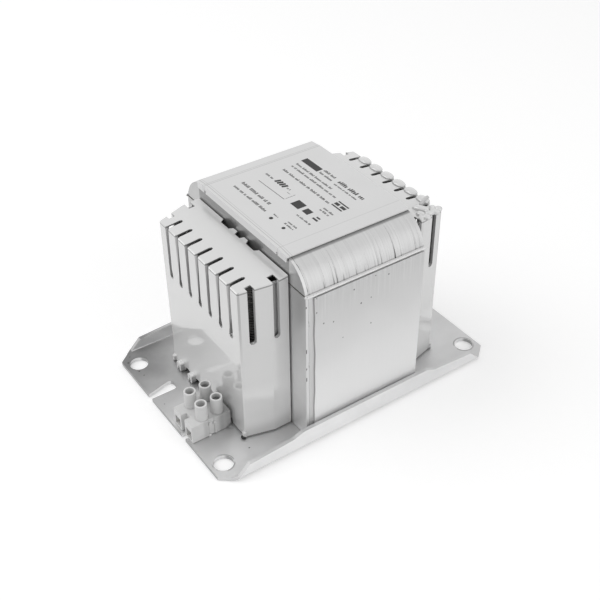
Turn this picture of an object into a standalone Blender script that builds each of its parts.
"""Magnetic ballast choke for a discharge lamp.

A laminated iron core with a coil inside stands on a folded steel base plate. Moulded covers close
both coil heads, and a two-pole terminal strip stands at the front end. The front is -Y, the coil's
axis is Z, and the origin is the middle of the base plate's underside.
"""

from math import cos, hypot, pi, sin, sqrt

import bmesh
import bpy
from mathutils import Matrix, Vector

# Clearances and roundness
CLEARANCE = 0.0003
OVERRUN = 0.0040
ARC_STEPS = 6
ROUND_SIDES = 20
FLAT_ANGLE = 0.001
PARALLEL_LIMIT = 1e-6

# Base plate
PLATE_THICKNESS = 0.0020
PLATE_PAST_STRIP = 0.0014
FLANGE_ROOM = 0.0025
BEND_RADIUS = 0.0030
CORNER_CUT_LENGTH = 0.0085
CORNER_CUT_WIDTH = 0.0070
FLANGE_HEIGHT = 0.0120
FLANGE_SHOULDER_HEIGHT = 0.0098
FLANGE_END_HEIGHT = 0.0082
FLANGE_END_SLANT = 0.0060
FLANGE_RAMP_LENGTH = 0.0080
FLANGE_PAST_CORE = 0.0035
FIXING_HOLE_DIAMETER = 0.0100
FIXING_FROM_END = 0.0072
FIXING_FROM_SIDE = 0.0133
END_SLOT_FROM_MIDDLE = 0.0158
END_SLOT_MOUTH = 0.0038
END_SLOT_WIDTH = 0.0078
END_SLOT_LENGTH = 0.0155
END_SLOT_CORNER = 0.0025

# Laminated core
CORE_STACK = 0.0690
CORE_WINDOW = 0.0175
CORE_TOP = 0.1045
CENTRE_LEG = 0.0360
OUTER_LEG = 0.0180
E_BACK = 0.0180
SHOULDER_RADIUS = 0.0180
SHOULDER_BELOW_YOKE = 0.0037
AIR_GAP = 0.0010
PACKET_GROOVE_WIDTH = 0.0004
PACKET_GROOVE_DEPTH = 0.0004
PACKET_SHARES = (0.115, 0.20, 0.235, 0.36, 0.47, 0.60, 0.655, 0.72, 0.80, 0.93)

# Weld beads and side sheets
BEAD_WIDTH = 0.0017
BEAD_HEIGHT = 0.0011
BEAD_PAST_CORE = 0.0007
BEAD_RINGS = 28
BEAD_RIPPLE_SHARE = 0.12
BEAD_RIPPLE_TURN = 2.4
BEAD_END_SHARE = 0.1
BEAD_END_POWER = 60
BEAD_DROP_SHARE = 0.35
BEAD_DROP_POWER = 24
SHEET_THICKNESS = 0.0006
SHEET_FRONT_MARGIN = 0.0042
SHEET_REAR_MARGIN = 0.0003
SHEET_BOTTOM = 0.0094
SHEET_EDGE_WAVE = 0.0007
SHEET_EDGE_SHARES = (0.0, 0.6, 0.2, 1.0, 0.5, 0.8, 0.1, 0.4)

# Label plate
LABEL_PAST_SHOULDER = 0.0050
LABEL_MARGIN = 0.0082
LABEL_THICKNESS = 0.0008
LABEL_SEAT = 0.0005
LABEL_MARGIN_DROP = 0.0008
LABEL_LIP = 0.0034
LABEL_NOTCH_WIDTH = 0.0012
LABEL_NOTCH_HEIGHT = 0.0016

# Coil former and winding
BOBBIN_WALL = 0.0015
BOBBIN_FLANGE = 0.0015
BOBBIN_CORNER = 0.0010
COIL_TURNS = 32
TURN_GROOVE = 0.0006

# Coil covers
COVER_WALL = 0.0018
COVER_TOP_WALL = 0.0008
COVER_FRONT_ROOM = 0.0068
COVER_SIDE_ROOM = 0.0038
COVER_TOP_ROOM = 0.0018
COVER_RISE = 0.0025
COVER_FACET_LENGTH = 0.0150
COVER_FACET_WIDTH = 0.0040
COVER_CORNER = 0.0010
COVER_EDGE = 0.0004
END_RIB = 0.0077
SLOT_COUNT = 7
SLOT_WIDTH = 0.0023
SLOT_DROP = 0.0305
SLOT_REACH = 0.0090
SLOT_FOOT_WIDTH_SHARE = 0.35
SLOT_FOOT_DEPTH_SHARE = 0.04
SLOT_START_WIDTH_SHARE = 0.7
SLOT_START_DEPTH_SHARE = 0.08
GROOVE_MOUTH = 0.0032
GROOVE_DEPTH = 0.0015
SIDE_SLOT_WIDTH = 0.0034
SIDE_SLOT_DROP = 0.0313
SIDE_SLOT_PLACES = (0.0063, 0.0182)
SIDE_SLOT_REACHES = (0.0034, 0.0052)
SIDE_SLOT_ROUND_SHARE = 0.98
NOTCH_DEPTH = 0.0025
NOTCH_PLACES = (-0.0114, 0.0, 0.0114)
NOTCH_WIDTHS = (0.0105, 0.0065, 0.0105)
ARCH_WIDTH = 0.0062
ARCH_HEIGHT = 0.0036
ARCH_ROUND_SHARE = 0.8
GUIDE_PLACES = (-0.0272, -0.0153)
GUIDE_WIDTH = 0.0044
GUIDE_HEIGHT = 0.0052
GUIDE_DEPTH = 0.0025
GUIDE_GROOVE = 0.0012
GUIDE_GROOVE_HEIGHT = 0.0028
PEG_RADIUS = 0.0012
PEG_HEIGHT = 0.0034

# Terminal strip
BLOCK_MIDDLE = 0.0159
BLOCK_PAST_COVER = 0.0014
BLOCK_LENGTH = 0.0222
BLOCK_HEIGHT = 0.0106
POLE_PITCH = 0.0110
POLE_WIDTH = 0.0073
POLE_RECESS = 0.0034
SIDE_RECESS_LENGTH = 0.0036
SIDE_RECESS_DEPTH = 0.0004
ENTRY_WIDTH = 0.0052
ENTRY_HEIGHT = 0.0056
ENTRY_FLOOR = 0.0010
TOWER_DIAMETER = 0.0062
TOWER_BORE = 0.0046
TOWER_HEIGHT = 0.0096
TOWER_PITCH = 0.0088
TOWERS_BACK_FROM_MIDDLE = 0.0013
BLOCK_HOLE = 0.0034
SNAP_FOOT_FROM_END = 0.0040
REAR_CUT_LENGTH = 0.0034
REAR_CUT_HEIGHT = 0.0022
SLEEVE_SHORTER = 0.0062
SLEEVE_BORE = 0.0034
SCREW_THREAD = 0.0022
SCREW_HEAD = 0.0038
SCREW_HEAD_HEIGHT = 0.0018
SCREW_SLOT = 0.0007
SCREW_SLOT_DEPTH = 0.0009
SCREW_TIP_ABOVE_SLEEVE_FLOOR = 0.0034
FRONT_SCREW_DEPTH = 0.0044
REAR_SCREW_DEPTH = 0.0022

# Leads
LEAD_DIAMETER = 0.0018
LEAD_START_HEIGHT = 0.0260
LEAD_BEND_SHARE = 0.7
LEAD_IN_SLEEVE = 0.0040
LEAD_END_DIAMETER = 0.0013
LEAD_END_BELOW = 0.0120
LEAD_END_RISE = 0.0036
LEAD_END_REACH = 0.0046

# Places worked out from the sizes above
PLATE_TOP = PLATE_THICKNESS
SEAT = PLATE_TOP + CLEARANCE
CORE_HALF = CORE_STACK / 2
CORE_WIDTH = CENTRE_LEG + 2 * (CORE_WINDOW + OUTER_LEG)
CORE_SIDE = CORE_WIDTH / 2
CORE_FLOOR = SEAT + E_BACK
YOKE_BOTTOM = CORE_TOP - SHOULDER_RADIUS + SHOULDER_BELOW_YOKE
LEG_TOP = YOKE_BOTTOM - AIR_GAP
SHOULDER_START = CORE_TOP - SHOULDER_RADIUS
GAP_MIDDLE = LEG_TOP + AIR_GAP / 2
LABEL_WIDTH = CORE_WIDTH - 2 * SHOULDER_RADIUS + 2 * LABEL_PAST_SHOULDER
LABEL_FLAT_WIDTH = LABEL_WIDTH - 2 * LABEL_MARGIN
COVER_BACK = CORE_HALF + CLEARANCE
BOBBIN_INSIDE = (CENTRE_LEG / 2 + CLEARANCE, CORE_HALF + CLEARANCE)
BOBBIN_OUTSIDE = tuple(half + BOBBIN_WALL for half in BOBBIN_INSIDE)
COIL_BUILD = CORE_WINDOW - BOBBIN_WALL - 4 * CLEARANCE
COIL_CORNER = COIL_BUILD - BOBBIN_WALL - CLEARANCE
COIL_INSIDE = tuple(half + CLEARANCE for half in BOBBIN_OUTSIDE)
COIL_OUTSIDE = tuple(half + COIL_BUILD for half in COIL_INSIDE)
BOBBIN_BOTTOM = CORE_FLOOR + CLEARANCE
BOBBIN_TOP = YOKE_BOTTOM - CLEARANCE
COIL_BOTTOM = BOBBIN_BOTTOM + BOBBIN_FLANGE + CLEARANCE
COIL_TOP = BOBBIN_TOP - BOBBIN_FLANGE - CLEARANCE
COVER_FRONT = COIL_OUTSIDE[1] + COVER_FRONT_ROOM + COVER_WALL
COVER_BACK_WIDTH = 2 * (COIL_OUTSIDE[0] + COVER_SIDE_ROOM + COVER_WALL)
COVER_FRONT_WIDTH = COVER_BACK_WIDTH - 2 * COVER_FACET_WIDTH
COVER_FRONT_HEIGHT = BOBBIN_TOP + COVER_TOP_ROOM + COVER_TOP_WALL
COVER_BACK_HEIGHT = COVER_FRONT_HEIGHT + COVER_RISE
RIB_PITCH = (COVER_FRONT_WIDTH - 2 * END_RIB) / (SLOT_COUNT - 1)
SLOT_BOTTOM = COVER_FRONT_HEIGHT - SLOT_DROP
SIDE_SLOT_BOTTOM = COVER_FRONT_HEIGHT - SIDE_SLOT_DROP
BLOCK_TOP = SEAT + BLOCK_HEIGHT
BLOCK_BACK = COVER_FRONT + BLOCK_PAST_COVER
BLOCK_FRONT = BLOCK_BACK + BLOCK_LENGTH
PLATE_LENGTH = 2 * (BLOCK_FRONT + PLATE_PAST_STRIP)
PLATE_WIDTH = CORE_WIDTH + 2 * (FLANGE_ROOM + PLATE_THICKNESS)
FIXING_PITCH_LENGTH = PLATE_LENGTH - 2 * FIXING_FROM_END
FIXING_PITCH_WIDTH = PLATE_WIDTH - 2 * FIXING_FROM_SIDE
POLES = (BLOCK_MIDDLE - POLE_PITCH / 2, BLOCK_MIDDLE + POLE_PITCH / 2)
SLEEVE_MIDDLE = (BLOCK_FRONT + BLOCK_BACK) / 2 - TOWERS_BACK_FROM_MIDDLE
SLEEVE_LENGTH = BLOCK_LENGTH - SLEEVE_SHORTER
TOWER_ROWS = (SLEEVE_MIDDLE + TOWER_PITCH / 2, SLEEVE_MIDDLE - TOWER_PITCH / 2)
SLEEVE_BOTTOM = SEAT + ENTRY_FLOOR + CLEARANCE
SLEEVE_TOP = SEAT + ENTRY_FLOOR + ENTRY_HEIGHT - CLEARANCE

# What each axis of an outline means when it is extruded along X, Y or Z
OUTLINE_AXES = {"X": (1, 2, 0), "Y": (0, 2, 1), "Z": (0, 1, 2)}


def clear_scene():
    for thing in list(bpy.data.objects):
        bpy.data.objects.remove(thing)


def finish(name, colour, roughness, metallic=0.0):
    """A plain material with the piece's colour and gloss."""
    material = bpy.data.materials.new(name)
    material.use_nodes = True
    shader = material.node_tree.nodes["Principled BSDF"]
    shader.inputs["Base Color"].default_value = (*colour, 1.0)
    shader.inputs["Roughness"].default_value = roughness
    shader.inputs["Metallic"].default_value = metallic
    return material


def skin(rings, looped=False):
    """A closed body through rings of points: capped at both ends, or joined into a loop."""
    mesh = bmesh.new()
    rows = [[mesh.verts.new(place) for place in ring] for ring in rings]
    pairs = list(zip(rows, rows[1:]))
    if looped:
        pairs.append((rows[-1], rows[0]))
    sides = []
    for low, high in pairs:
        for i, corner in enumerate(low):
            j = (i + 1) % len(low)
            sides.append(mesh.faces.new((corner, low[j], high[j], high[i])))
    bmesh.ops.connect_verts_nonplanar(mesh, angle_limit=FLAT_ANGLE, faces=sides)
    if not looped:
        mesh.faces.new(rows[0])
        mesh.faces.new(rows[-1])
    bmesh.ops.recalc_face_normals(mesh, faces=mesh.faces)
    return mesh


def lift(outline, axis, along):
    """The points of a flat outline, placed on the plane at a distance along an axis."""
    first, second, third = OUTLINE_AXES[axis]
    ring = []
    for u, v in outline:
        place = Vector((0, 0, 0))
        place[first], place[second], place[third] = u, v, along
        ring.append(place)
    return ring


def prism(outline, axis, start, end):
    return skin([lift(outline, axis, start), lift(outline, axis, end)])


def box(low, high):
    outline = [(low[0], low[1]), (high[0], low[1]), (high[0], high[1]), (low[0], high[1])]
    return prism(outline, "Z", low[2], high[2])


def circle(centre, radius, sides=ROUND_SIDES):
    angles = [2 * pi * (i + 0.5) / sides for i in range(sides)]
    return [(centre[0] + radius * cos(a), centre[1] + radius * sin(a)) for a in angles]


def rod(centre, radius, axis, start, end):
    return prism(circle(centre, radius), axis, start, end)


def rounded(corners, radii, steps=ARC_STEPS):
    """An outline whose corners are replaced by arcs of the radii given."""
    outline = []
    for i, (corner, radius) in enumerate(zip(corners, radii)):
        here = Vector(corner)
        back = (Vector(corners[i - 1]) - here).normalized()
        ahead = (Vector(corners[(i + 1) % len(corners)]) - here).normalized()
        if radius <= 0:
            outline.append(tuple(here))
            continue
        half_angle = back.angle(ahead) / 2
        centre = here + (back + ahead).normalized() * radius / sin(half_angle)
        start = here + back * radius * cos(half_angle) / sin(half_angle) - centre
        turn = start.angle_signed(here + ahead * radius * cos(half_angle) / sin(half_angle) - centre)
        for step in range(steps + 1):
            spoke = start.copy()
            spoke.rotate(Matrix.Rotation(-turn * step / steps, 2))
            outline.append(tuple(centre + spoke))
    return outline


def rounded_rectangle(half_sizes, radius):
    x, y = half_sizes
    return rounded([(-x, -y), (x, -y), (x, y), (-x, y)], [radius] * 4)


def inset(outline, distances):
    """An outline moved inwards, each side by its own distance; the corners run anticlockwise."""
    count = len(outline)
    lines = []
    for i in range(count):
        start, end = Vector(outline[i]), Vector(outline[(i + 1) % count])
        along = (end - start).normalized()
        inward = Vector((-along.y, along.x))
        lines.append((start + inward * distances[i], along))
    corners = []
    for i in range(count):
        (place, along), (other, across) = lines[i - 1], lines[i]
        turn = along.x * across.y - along.y * across.x
        if abs(turn) < PARALLEL_LIMIT:
            corners.append(tuple(other))
            continue
        gap = other - place
        share = (gap.x * across.y - gap.y * across.x) / turn
        corners.append(tuple(place + along * share))
    return corners


def combine(meshes):
    """Several separate bodies in one mesh."""
    whole = bmesh.new()
    for mesh in meshes:
        data = bpy.data.meshes.new("body")
        mesh.to_mesh(data)
        mesh.free()
        whole.from_mesh(data)
        bpy.data.meshes.remove(data)
    return whole


def place(name, mesh, material=None, at=(0, 0, 0), turned=0.0):
    """A named object from a mesh, which is shaded smooth except at its sharp edges."""
    data = bpy.data.meshes.new(name)
    mesh.to_mesh(data)
    mesh.free()
    data.shade_smooth()
    data.set_sharp_from_angle(angle=pi / 6)
    thing = bpy.data.objects.new(name, data)
    thing.location = at
    thing.rotation_euler = (0, 0, turned)
    if material:
        data.materials.append(material)
    bpy.context.scene.collection.objects.link(thing)
    return thing


def carve(thing, operation, mesh):
    """Adds a Boolean with a hidden helper body to an object."""
    helper = place(f"{thing.name}_{operation.lower()}_{len(thing.modifiers)}", mesh)
    helper.hide_render = True
    helper.display_type = "WIRE"
    helper.parent = thing
    modifier = thing.modifiers.new(operation.title(), "BOOLEAN")
    modifier.operation = operation
    modifier.solver = "EXACT"
    modifier.object = helper


def both_signs(places):
    return [sign * value for value in places for sign in (-1, 1)]


def shoulder_side(height):
    """How far the core's side stands from the middle at a height, round shoulder included."""
    rise = max(height - SHOULDER_START, 0)
    return CORE_SIDE - SHOULDER_RADIUS + sqrt(SHOULDER_RADIUS**2 - rise**2)


def plate_profile():
    """The folded plate's section: flat bottom, round bends and two flanges, taller than needed."""
    side, top = PLATE_WIDTH / 2, FLANGE_HEIGHT
    inside = side - PLATE_THICKNESS
    corners = [(-side, top), (-side, 0), (side, 0), (side, top)]
    corners += [(inside, top), (inside, PLATE_THICKNESS), (-inside, PLATE_THICKNESS), (-inside, top)]
    inner_radius = BEND_RADIUS - PLATE_THICKNESS
    radii = [0, BEND_RADIUS, BEND_RADIUS, 0, 0, inner_radius, inner_radius, 0]
    return rounded(corners, radii)


def plate_plan():
    half_width, half_length = PLATE_WIDTH / 2 + OVERRUN, PLATE_LENGTH / 2
    cut_slope = CORNER_CUT_LENGTH / CORNER_CUT_WIDTH
    near = half_length - CORNER_CUT_LENGTH - OVERRUN * cut_slope
    corner = PLATE_WIDTH / 2 - CORNER_CUT_WIDTH
    quarter = [(corner, -half_length), (half_width, -near), (half_width, near), (corner, half_length)]
    return quarter + [(-x, -y) for x, y in quarter]


def flange_relief():
    """What is cut away above the flanges: slanted ends, low shoulders and a soft ramp at the core."""
    end = PLATE_LENGTH / 2 - CORNER_CUT_LENGTH
    tall = CORE_HALF + FLANGE_PAST_CORE
    half = [(PLATE_LENGTH / 2 + OVERRUN, SEAT), (end, SEAT), (end - FLANGE_END_SLANT, FLANGE_END_HEIGHT)]
    rise = FLANGE_HEIGHT - FLANGE_SHOULDER_HEIGHT
    for step in range(ARC_STEPS + 1):
        share = step / ARC_STEPS
        height = FLANGE_SHOULDER_HEIGHT + rise * (1 - cos(pi * share)) / 2
        half.append((tall + FLANGE_RAMP_LENGTH * (1 - share), height))
    line = [(-y, z) for y, z in half] + half[::-1]
    above = FLANGE_HEIGHT + OVERRUN
    return line + [(PLATE_LENGTH / 2 + OVERRUN, above), (-PLATE_LENGTH / 2 - OVERRUN, above)]


def end_slot(side):
    """A slot in the front end: narrow at its mouth, wider inside, with round inner corners."""
    front, inner = -PLATE_LENGTH / 2, -PLATE_LENGTH / 2 + END_SLOT_LENGTH
    edge = END_SLOT_FROM_MIDDLE
    corners = [(edge, front - OVERRUN), (edge + END_SLOT_MOUTH, front - OVERRUN)]
    corners += [(edge + END_SLOT_MOUTH, front), (edge + END_SLOT_WIDTH, inner), (edge, inner)]
    outline = rounded(corners, [0, 0, 0, END_SLOT_CORNER, END_SLOT_CORNER])
    return [(side * x, y) for x, y in outline]


def build_base_plate(steel):
    half_length = PLATE_LENGTH / 2 + OVERRUN
    plate = place("base_plate", prism(plate_profile(), "Y", -half_length, half_length), steel)
    above = FLANGE_HEIGHT + OVERRUN
    carve(plate, "INTERSECT", prism(plate_plan(), "Z", -OVERRUN, above))
    half_width = PLATE_WIDTH / 2 + OVERRUN
    carve(plate, "DIFFERENCE", prism(flange_relief(), "X", -half_width, half_width))
    top = PLATE_TOP + OVERRUN
    holes = []
    for x in both_signs([FIXING_PITCH_WIDTH / 2]):
        for y in both_signs([FIXING_PITCH_LENGTH / 2]):
            holes.append(rod((x, y), FIXING_HOLE_DIAMETER / 2, "Z", -OVERRUN, top))
    holes += [prism(end_slot(side), "Z", -OVERRUN, top) for side in (-1, 1)]
    carve(plate, "DIFFERENCE", combine(holes))


def build_e_stack(iron):
    """E laminations: the back below, and three legs up to the air gap."""
    side, window = CORE_SIDE, CORE_SIDE - OUTER_LEG
    leg = CENTRE_LEG / 2
    half = [(leg, LEG_TOP), (leg, CORE_FLOOR), (window, CORE_FLOOR), (window, LEG_TOP)]
    half += [(shoulder_side(LEG_TOP), LEG_TOP), (side, SHOULDER_START), (side, SEAT)]
    outline = half + [(-x, z) for x, z in reversed(half)]
    place("core_e_stack", prism(outline, "Y", -CORE_HALF, CORE_HALF), iron)


def build_yoke(iron):
    """Yoke laminations with round shoulders; shallow grooves part the packets of the stack."""
    bottom = shoulder_side(YOKE_BOTTOM)
    centre = CORE_SIDE - SHOULDER_RADIUS
    first_angle = sqrt(1 - ((YOKE_BOTTOM - SHOULDER_START) / SHOULDER_RADIUS) ** 2)
    start = Vector((first_angle, (YOKE_BOTTOM - SHOULDER_START) / SHOULDER_RADIUS))
    sweep = start.angle(Vector((0, 1)))
    half = [(bottom, YOKE_BOTTOM)]
    steps = ARC_STEPS + 2
    for step in range(1, steps + 1):
        angle = pi / 2 - sweep * (1 - step / steps)
        half.append((centre + SHOULDER_RADIUS * cos(angle), SHOULDER_START + SHOULDER_RADIUS * sin(angle)))
    outline = half + [(-x, z) for x, z in reversed(half)]
    depths = [PACKET_GROOVE_DEPTH] * (len(outline) - 1) + [0]
    grooved = inset(outline, depths)
    rings = [lift(outline, "Y", -CORE_HALF)]
    for share in PACKET_SHARES:
        start = CORE_STACK * share - CORE_HALF
        end = start + PACKET_GROOVE_WIDTH
        rings += [lift(outline, "Y", start), lift(grooved, "Y", start)]
        rings += [lift(grooved, "Y", end), lift(outline, "Y", end)]
    rings.append(lift(outline, "Y", CORE_HALF))
    place("core_yoke_stack", skin(rings), iron)


def build_gap_shims(board):
    low, high = LEG_TOP + CLEARANCE, YOKE_BOTTOM - CLEARANCE
    leg, window, side = CENTRE_LEG / 2, CORE_SIDE - OUTER_LEG, shoulder_side(YOKE_BOTTOM)
    place("gap_shim_centre", box((-leg, -CORE_HALF, low), (leg, CORE_HALF, high)), board)
    place("gap_shim_near", box((window, -CORE_HALF, low), (side, CORE_HALF, high)), board)
    place("gap_shim_far", box((-side, -CORE_HALF, low), (-window, CORE_HALF, high)), board)


def build_weld_bead(name, side, metal):
    """A rippled bead along the joint of the legs and the yoke, with a round drop at each end."""
    length = CORE_HALF + BEAD_PAST_CORE
    low, high = GAP_MIDDLE - BEAD_WIDTH / 2, GAP_MIDDLE + BEAD_WIDTH / 2
    foot_low = shoulder_side(low) + CLEARANCE
    foot_high = shoulder_side(high) + CLEARANCE
    rings = []
    for ring in range(BEAD_RINGS + 1):
        share = sin(pi * (ring / BEAD_RINGS - 1 / 2))
        swell = sqrt(max(1 - share**BEAD_END_POWER, BEAD_END_SHARE))
        swell *= 1 + BEAD_DROP_SHARE * share**BEAD_DROP_POWER
        swell *= 1 - BEAD_RIPPLE_SHARE * (1 + sin(ring * BEAD_RIPPLE_TURN)) / 2
        points = []
        for step in range(ARC_STEPS + 1):
            angle = pi * step / ARC_STEPS
            height = GAP_MIDDLE - BEAD_WIDTH / 2 * swell * cos(angle)
            lean = foot_low + (foot_high - foot_low) * (height - low) / (high - low)
            points.append((side * (lean + BEAD_HEIGHT * swell * sin(angle)), height))
        rings.append(lift(points, "Y", share * length))
    place(name, skin(rings), metal)


def build_side_sheet(name, side, film):
    """A thin sheet on the core's flat side, with the uneven front edge of the real one."""
    front, rear = -CORE_HALF + SHEET_FRONT_MARGIN, CORE_HALF - SHEET_REAR_MARGIN
    top = GAP_MIDDLE - BEAD_WIDTH / 2 * (1 + BEAD_DROP_SHARE) - CLEARANCE
    last = len(SHEET_EDGE_SHARES) - 1
    outline = [(rear, SHEET_BOTTOM), (rear, top)]
    for i, share in enumerate(SHEET_EDGE_SHARES):
        height = top + (SHEET_BOTTOM - top) * i / last
        outline.append((front + SHEET_EDGE_WAVE * share, height))
    near = side * (CORE_SIDE + CLEARANCE)
    far = near + side * SHEET_THICKNESS
    place(name, prism(outline, "X", near, far), film)


def build_label_plate(sheet):
    """The top plate: long margins bent down a little, and a lip down over the core's front face."""
    side, flat = LABEL_WIDTH / 2, LABEL_FLAT_WIDTH / 2
    bottom = CORE_TOP + LABEL_SEAT
    top = bottom + LABEL_THICKNESS
    half = [(flat, bottom), (side, bottom - LABEL_MARGIN_DROP)]
    half += [(side, top - LABEL_MARGIN_DROP), (flat, top)]
    outline = half + [(-x, z) for x, z in reversed(half)]
    lip_back = -CORE_HALF - CLEARANCE
    lip_front = lip_back - LABEL_THICKNESS
    plate = place("label_plate", prism(outline, "Y", lip_front, CORE_HALF + CLEARANCE), sheet)
    lip_bottom = top - LABEL_MARGIN_DROP - LABEL_LIP
    inside = side - LABEL_THICKNESS
    lip = [(-inside, lip_bottom), (inside, lip_bottom), (inside, bottom), (-inside, bottom)]
    carve(plate, "UNION", prism(lip, "Y", lip_front, lip_back))
    notches = []
    for x in both_signs([flat]):
        low = (x - LABEL_NOTCH_WIDTH / 2, lip_front - OVERRUN, lip_bottom - OVERRUN)
        high = (x + LABEL_NOTCH_WIDTH / 2, lip_back + CLEARANCE, lip_bottom + LABEL_NOTCH_HEIGHT)
        notches.append(box(low, high))
    carve(plate, "DIFFERENCE", combine(notches))


def build_bobbin(plastic):
    """The coil former: a square tube round the centre leg with a flange at each end."""
    flange = rounded_rectangle(COIL_OUTSIDE, COIL_CORNER)
    tube = rounded_rectangle(BOBBIN_OUTSIDE, BOBBIN_CORNER)
    low, high = BOBBIN_BOTTOM + BOBBIN_FLANGE, BOBBIN_TOP - BOBBIN_FLANGE
    rings = [lift(flange, "Z", BOBBIN_BOTTOM), lift(flange, "Z", low), lift(tube, "Z", low)]
    rings += [lift(tube, "Z", high), lift(flange, "Z", high), lift(flange, "Z", BOBBIN_TOP)]
    bobbin = place("bobbin", skin(rings), plastic)
    x, y = BOBBIN_INSIDE
    hole = box((-x, -y, BOBBIN_BOTTOM - OVERRUN), (x, y, BOBBIN_TOP + OVERRUN))
    carve(bobbin, "DIFFERENCE", hole)


def build_winding(wire):
    """The coil as one body: round corners outside, with a groove between one turn and the next."""
    crest = rounded_rectangle(COIL_OUTSIDE, COIL_CORNER)
    groove_half = tuple(half - TURN_GROOVE for half in COIL_OUTSIDE)
    groove = rounded_rectangle(groove_half, COIL_CORNER)
    inner = rounded_rectangle(COIL_INSIDE, BOBBIN_CORNER)
    pitch = (COIL_TOP - COIL_BOTTOM) / COIL_TURNS
    rings = [lift(inner, "Z", COIL_BOTTOM), lift(groove, "Z", COIL_BOTTOM)]
    for turn in range(COIL_TURNS):
        rings.append(lift(crest, "Z", COIL_BOTTOM + pitch * (turn + 0.5)))
        rings.append(lift(groove, "Z", COIL_BOTTOM + pitch * (turn + 1)))
    rings.append(lift(inner, "Z", COIL_TOP))
    place("winding", skin(rings, looped=True), wire)


def cover_plan(wall, corner, back):
    """The plan of a front cover, moved in by a wall: straight front, slanted facets, straight sides."""
    front_x, back_x = COVER_FRONT_WIDTH / 2, COVER_BACK_WIDTH / 2
    facet = -COVER_FRONT + COVER_FACET_LENGTH
    corners = [(-front_x, -COVER_FRONT), (front_x, -COVER_FRONT), (back_x, facet)]
    corners += [(back_x, -COVER_BACK), (-back_x, -COVER_BACK), (-back_x, facet)]
    moved = inset(corners, [wall, wall, wall, -back, wall, wall])
    return rounded(moved, [corner, corner, corner, 0, 0, corner], ARC_STEPS // 2)


def cover_height(y):
    """The height of a front cover's sloping top at a place along the plate."""
    share = (y + COVER_FRONT) / (COVER_FRONT - COVER_BACK)
    return COVER_FRONT_HEIGHT + (COVER_BACK_HEIGHT - COVER_FRONT_HEIGHT) * share


def sloped(outline, drop):
    return [Vector((x, y, cover_height(y) - drop)) for x, y in outline]


def rib_slot(x):
    """One cutter for a rib slot: a narrow slot over the top edge, in a groove that fades downwards."""
    front, inner = -COVER_FRONT, -COVER_FRONT + SLOT_REACH
    slot = SLOT_WIDTH / 2
    top = COVER_BACK_HEIGHT + OVERRUN
    levels = [(SLOT_BOTTOM, SLOT_FOOT_WIDTH_SHARE, SLOT_FOOT_DEPTH_SHARE)]
    levels += [(SLOT_BOTTOM + slot, SLOT_START_WIDTH_SHARE, SLOT_START_DEPTH_SHARE), (top, 1, 1)]
    rings = []
    for height, width_share, depth_share in levels:
        half = slot * width_share
        mouth = half + (GROOVE_MOUTH / 2 - slot) * depth_share + CLEARANCE * depth_share
        deep = front + CLEARANCE + GROOVE_DEPTH * depth_share
        side = [(mouth, front - OVERRUN), (mouth, front - CLEARANCE), (half, deep)]
        side += [(half, inner - half), (half / 2, inner)]
        outline = side + [(-u, v) for u, v in reversed(side)]
        rings.append([Vector((x + u, v, height)) for u, v in outline])
    return skin(rings)


def side_slot(side, place_back, reach):
    """A wide slot in a cover's side, from its round bottom up through the top."""
    y = -COVER_FRONT + place_back
    half = SIDE_SLOT_WIDTH / 2
    spread = min(place_back / COVER_FACET_LENGTH, 1)
    wall = (COVER_FRONT_WIDTH + (COVER_BACK_WIDTH - COVER_FRONT_WIDTH) * spread) / 2
    top = COVER_BACK_HEIGHT + OVERRUN
    corners = [(y - half, SIDE_SLOT_BOTTOM), (y + half, SIDE_SLOT_BOTTOM), (y + half, top), (y - half, top)]
    radius = half * SIDE_SLOT_ROUND_SHARE
    outline = rounded(corners, [radius, radius, 0, 0], ARC_STEPS // 2)
    return prism(outline, "X", side * (wall - reach), side * (wall + OVERRUN))


def back_notch(x, width):
    """A notch in the rear edge of a cover's top, narrower at its floor."""
    back, floor = -COVER_BACK + OVERRUN, -COVER_BACK - NOTCH_DEPTH
    outline = [(x - width / 2, back), (x - width / 2, -COVER_BACK), (x - width / 3, floor)]
    outline += [(x + width / 3, floor), (x + width / 2, -COVER_BACK), (x + width / 2, back)]
    return prism(outline, "Z", COVER_FRONT_HEIGHT - COVER_WALL - OVERRUN, COVER_BACK_HEIGHT + OVERRUN)


def lead_arch(x):
    half = ARCH_WIDTH / 2
    top = SEAT + ARCH_HEIGHT
    corners = [(x - half, SEAT - OVERRUN), (x + half, SEAT - OVERRUN), (x + half, top), (x - half, top)]
    radius = half * ARCH_ROUND_SHARE
    outline = rounded(corners, [0, 0, radius, radius], ARC_STEPS // 2)
    return prism(outline, "Y", -COVER_FRONT - OVERRUN, -COVER_FRONT + COVER_WALL + CLEARANCE)


def lead_guide(x):
    """A small guide for a lead at the foot of a cover's front face."""
    half, foot, top = GUIDE_WIDTH / 2, SEAT + CLEARANCE, SEAT + GUIDE_HEIGHT
    corners = [(x - half, foot), (x + half, foot), (x + half, top), (x - half, top)]
    outline = rounded(corners, [0, 0, half / 2, half / 2], ARC_STEPS // 2)
    return prism(outline, "Y", -COVER_FRONT - GUIDE_DEPTH, -COVER_FRONT + COVER_WALL / 2)


def guide_groove(x):
    """The groove that splits a guide's foot into two prongs."""
    half = GUIDE_GROOVE / 2
    low = (x - half, -COVER_FRONT - GUIDE_DEPTH - OVERRUN, SEAT - OVERRUN)
    return box(low, (x + half, -COVER_FRONT - CLEARANCE, SEAT + GUIDE_GROOVE_HEIGHT))


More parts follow.
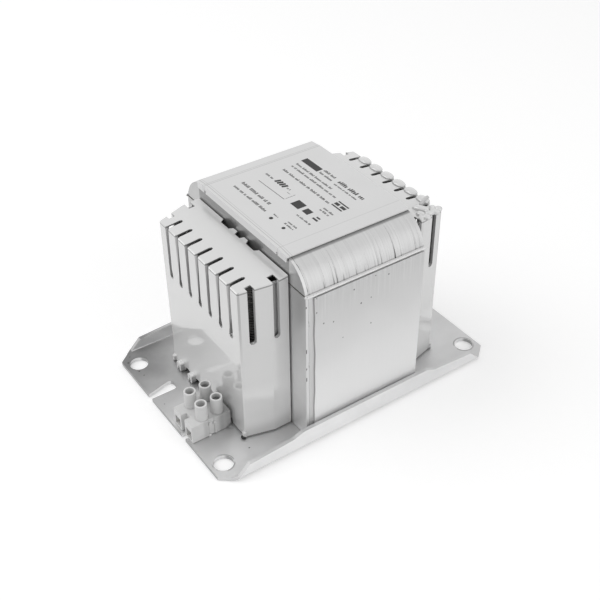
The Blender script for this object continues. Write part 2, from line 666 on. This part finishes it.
def build_cover(name, turned, plastic):
    """A moulded cover for one coil head: walls, sloping top, rib slots, side slots and lead guides."""
    outside = cover_plan(0, COVER_CORNER, 0)
    edge = cover_plan(COVER_EDGE, COVER_CORNER - COVER_EDGE, -COVER_EDGE)
    rings = [lift(outside, "Z", SEAT), sloped(outside, COVER_EDGE), sloped(edge, 0)]
    cover = place(name, skin(rings), plastic, turned=turned)
    hollow = cover_plan(COVER_WALL, CLEARANCE, OVERRUN)
    floor = SEAT - OVERRUN
    carve(cover, "DIFFERENCE", skin([lift(hollow, "Z", floor), sloped(hollow, COVER_TOP_WALL)]))
    guides = [lead_guide(x) for x in GUIDE_PLACES]
    corner = COVER_FRONT_WIDTH / 2 - PEG_RADIUS / 2
    for x in both_signs([corner]):
        guides.append(rod((x, -COVER_FRONT), PEG_RADIUS, "Z", SEAT + CLEARANCE, SEAT + PEG_HEIGHT))
    carve(cover, "UNION", combine(guides))
    middle = (SLOT_COUNT - 1) / 2
    carve(cover, "DIFFERENCE", combine([rib_slot(RIB_PITCH * (i - middle)) for i in range(SLOT_COUNT)]))
    cuts = []
    for side in (-1, 1):
        cuts += [side_slot(side, *slot) for slot in zip(SIDE_SLOT_PLACES, SIDE_SLOT_REACHES)]
    cuts += [back_notch(*notch) for notch in zip(NOTCH_PLACES, NOTCH_WIDTHS)]
    cuts += [lead_arch(x) for x in both_signs(POLES)]
    cuts += [guide_groove(x) for x in GUIDE_PLACES]
    carve(cover, "DIFFERENCE", combine(cuts))


def block_plan():
    """The strip's plan: two poles with a narrower bridge between, and a shallow recess outside."""
    pole, inner = POLES[1] + POLE_WIDTH / 2, POLES[1] - POLE_WIDTH / 2
    middle = -(BLOCK_FRONT + BLOCK_BACK) / 2
    recess, depth = SIDE_RECESS_LENGTH / 2, SIDE_RECESS_DEPTH
    right = [(inner, -BLOCK_FRONT + POLE_RECESS), (inner, -BLOCK_FRONT), (pole, -BLOCK_FRONT)]
    right += [(pole, middle - recess), (pole - depth, middle - recess)]
    right += [(pole - depth, middle + recess), (pole, middle + recess)]
    right += [(pole, -BLOCK_BACK), (inner, -BLOCK_BACK), (inner, -BLOCK_BACK - POLE_RECESS)]
    return right + [(2 * BLOCK_MIDDLE - x, y) for x, y in reversed(right)]


def build_terminal_body(plastic):
    """The strip's moulding: poles, screw towers, wire entries and the foot that sits in the end slot."""
    body = place("terminal_body", prism(block_plan(), "Z", SEAT, BLOCK_TOP), plastic)
    tower_top = BLOCK_TOP + TOWER_HEIGHT
    towers, bores, entries = [], [], []
    for x in POLES:
        for row in TOWER_ROWS:
            centre = (x, -row)
            towers.append(rod(centre, TOWER_DIAMETER / 2, "Z", BLOCK_TOP - CLEARANCE, tower_top))
            bores.append(rod(centre, TOWER_BORE / 2, "Z", SLEEVE_TOP, tower_top + OVERRUN))
        low = (x - ENTRY_WIDTH / 2, -BLOCK_FRONT - OVERRUN, SEAT + ENTRY_FLOOR)
        high = (x + ENTRY_WIDTH / 2, -BLOCK_BACK + OVERRUN, SEAT + ENTRY_FLOOR + ENTRY_HEIGHT)
        entries.append(box(low, high))
    foot_back = -PLATE_LENGTH / 2 + END_SLOT_LENGTH - END_SLOT_CORNER
    edge = END_SLOT_FROM_MIDDLE + CLEARANCE
    low = (edge, -PLATE_LENGTH / 2 + SNAP_FOOT_FROM_END, CLEARANCE)
    high = (edge + END_SLOT_MOUTH - 2 * CLEARANCE, foot_back, SEAT + ENTRY_FLOOR / 2)
    carve(body, "UNION", combine(towers + [box(low, high)]))
    hole = rod((BLOCK_MIDDLE, -SLEEVE_MIDDLE), BLOCK_HOLE / 2, "Z", SEAT + ENTRY_FLOOR, BLOCK_TOP + OVERRUN)
    outside = BLOCK_MIDDLE + POLE_PITCH + OVERRUN
    start, end = -BLOCK_BACK - REAR_CUT_LENGTH, -BLOCK_BACK + REAR_CUT_LENGTH
    rear = [(start, SEAT), (-BLOCK_BACK, SEAT + REAR_CUT_HEIGHT), (end, SEAT + 2 * REAR_CUT_HEIGHT)]
    rear += [(end, CLEARANCE), (start, CLEARANCE)]
    carve(body, "DIFFERENCE", combine(entries))
    carve(body, "DIFFERENCE", prism(rear, "X", 0, outside))
    carve(body, "DIFFERENCE", combine(bores + [hole]))


def build_sleeve(name, x, brass):
    """A brass sleeve: square outside, round wire bore, two threaded holes for the screws."""
    half_width = ENTRY_WIDTH / 2 - CLEARANCE
    half_height = (SLEEVE_TOP - SLEEVE_BOTTOM) / 2
    low = (-half_width, -SLEEVE_LENGTH / 2, -half_height)
    high = (half_width, SLEEVE_LENGTH / 2, half_height)
    at = (x, -SLEEVE_MIDDLE, SLEEVE_BOTTOM + half_height)
    sleeve = place(name, box(low, high), brass, at=at)
    reach = SLEEVE_LENGTH / 2 + OVERRUN
    carve(sleeve, "DIFFERENCE", rod((0, 0), SLEEVE_BORE / 2, "Y", -reach, reach))
    radius = SCREW_THREAD / 2 + CLEARANCE
    holes = [rod((0, y), radius, "Z", 0, half_height + OVERRUN) for y in both_signs([TOWER_PITCH / 2])]
    carve(sleeve, "DIFFERENCE", combine(holes))


def build_terminal_screw(name, x, row, depth, steel):
    """A slotted screw in its tower, head down from the rim by a depth."""
    head_top = BLOCK_TOP + TOWER_HEIGHT - depth
    neck = SCREW_HEAD / 2 - SCREW_THREAD / 2
    thread, head = circle((0, 0), SCREW_THREAD / 2), circle((0, 0), SCREW_HEAD / 2)
    tip = SLEEVE_BOTTOM + SCREW_TIP_ABOVE_SLEEVE_FLOOR - head_top
    levels = [(thread, tip), (thread, -SCREW_HEAD_HEIGHT - neck / 2)]
    levels += [(head, -SCREW_HEAD_HEIGHT), (head, 0)]
    screw = place(name, skin([lift(ring, "Z", z) for ring, z in levels]), steel, at=(x, -row, head_top))
    slot = SCREW_SLOT / 2
    low, high = (-slot, -SCREW_HEAD, -SCREW_SLOT_DEPTH), (slot, SCREW_HEAD, OVERRUN)
    carve(screw, "DIFFERENCE", box(low, high))


def smooth_route(points, steps):
    """A smooth line of points through a few given ones (Catmull-Rom)."""
    knots = [Vector(p) for p in points]
    knots = [2 * knots[0] - knots[1]] + knots + [2 * knots[-1] - knots[-2]]
    route = []
    for a, b, c, d in zip(knots, knots[1:], knots[2:], knots[3:]):
        for step in range(steps):
            t = step / steps
            bend = (2 * a - 5 * b + 4 * c - d) * t**2 + (3 * b - a - 3 * c + d) * t**3
            route.append((2 * b + (c - a) * t + bend) / 2)
    return route + [knots[-2]]


def build_wire(name, points, diameter, material):
    """A round wire along a smooth line, as a curve with a bevel and filled ends."""
    route = smooth_route(points, 4)
    curve = bpy.data.curves.new(name, "CURVE")
    curve.dimensions = "3D"
    curve.bevel_depth = diameter / 2
    curve.bevel_resolution = 2
    curve.use_fill_caps = True
    spline = curve.splines.new("POLY")
    spline.points.add(len(route) - 1)
    for point, where in zip(spline.points, route):
        point.co = (*where, 1)
    curve.materials.append(material)
    wire = bpy.data.objects.new(name, curve)
    bpy.context.scene.collection.objects.link(wire)


def build_lead(name, x, insulation):
    """A lead from the coil down inside the front cover, out of its arch and into the sleeve."""
    radius = LEAD_DIAMETER / 2
    coil = COIL_OUTSIDE[1] + CLEARANCE + radius
    floor = SEAT + ENTRY_FLOOR + CLEARANCE + radius
    bore = SLEEVE_BOTTOM + (SLEEVE_TOP - SLEEVE_BOTTOM - SLEEVE_BORE) / 2 + CLEARANCE + radius
    sleeve_back = SLEEVE_MIDDLE - SLEEVE_LENGTH / 2
    points = [(x, -coil, LEAD_START_HEIGHT), (x, -coil, LEAD_START_HEIGHT * LEAD_BEND_SHARE)]
    points += [(x, -coil, LEAD_START_HEIGHT / 2), (x, -(coil + COVER_FRONT) / 2, floor + radius)]
    points += [(x, -COVER_FRONT + COVER_WALL, floor), (x, -COVER_FRONT, floor)]
    points += [(x, -BLOCK_BACK - CLEARANCE, floor), (x, -sleeve_back + CLEARANCE, bore)]
    points += [(x, -sleeve_back - LEAD_IN_SLEEVE, bore)]
    build_wire(name, points, LEAD_DIAMETER, insulation)


def build_lead_end(wire):
    """The wire end that stands out of the rear cover's last slot and leans to the rear."""
    x = RIB_PITCH * (SLOT_COUNT - 1) / 2
    radius = LEAD_END_DIAMETER / 2
    y = COIL_OUTSIDE[1] + CLEARANCE + radius
    top = cover_height(-y) + radius
    points = [(x, y, top - LEAD_END_BELOW), (x, y, top - LEAD_END_BELOW / 2), (x, y, top)]
    points += [(x, y + LEAD_END_REACH / 3, top + LEAD_END_RISE / 2)]
    points += [(x, y + LEAD_END_REACH, top + LEAD_END_RISE)]
    build_wire("lead_end", points, LEAD_END_DIAMETER, wire)


def main():
    clear_scene()
    steel = finish("plate_steel", (0.74, 0.74, 0.75), 0.30, 0.85)
    iron = finish("laminated_iron", (0.42, 0.42, 0.43), 0.38, 0.75)
    bead_metal = finish("weld_metal", (0.72, 0.72, 0.73), 0.35, 0.85)
    film = finish("side_film", (0.70, 0.70, 0.71), 0.25, 0.50)
    sheet = finish("label_sheet", (0.82, 0.82, 0.83), 0.40, 0.40)
    white = finish("white_plastic", (0.84, 0.84, 0.83), 0.22)
    cream = finish("strip_plastic", (0.83, 0.83, 0.81), 0.35)
    former = finish("former_plastic", (0.06, 0.06, 0.06), 0.50)
    board = finish("shim_board", (0.55, 0.45, 0.30), 0.80)
    enamel = finish("wire_enamel", (0.09, 0.05, 0.03), 0.30)
    brass = finish("brass", (0.75, 0.60, 0.30), 0.30, 1.0)
    screw_steel = finish("screw_steel", (0.62, 0.62, 0.63), 0.30, 1.0)

    build_base_plate(steel)
    build_e_stack(iron)
    build_yoke(iron)
    build_gap_shims(board)
    for name, side in (("near", 1), ("far", -1)):
        build_weld_bead(f"weld_bead_{name}", side, bead_metal)
        build_side_sheet(f"side_sheet_{name}", side, film)
    build_label_plate(sheet)
    build_bobbin(former)
    build_winding(enamel)
    build_cover("front_coil_cover", 0, white)
    build_cover("rear_coil_cover", pi, white)
    build_terminal_body(cream)
    for number, x in enumerate(POLES, 1):
        build_sleeve(f"terminal_sleeve_{number}", x, brass)
        build_lead(f"lead_wire_{number}", x, white)
    depths = (FRONT_SCREW_DEPTH, REAR_SCREW_DEPTH)
    places = [(x, row, depth) for x in POLES for row, depth in zip(TOWER_ROWS, depths)]
    for number, where in enumerate(places, 1):
        build_terminal_screw(f"terminal_screw_{number}", *where, screw_steel)
    build_lead_end(enamel)


main()
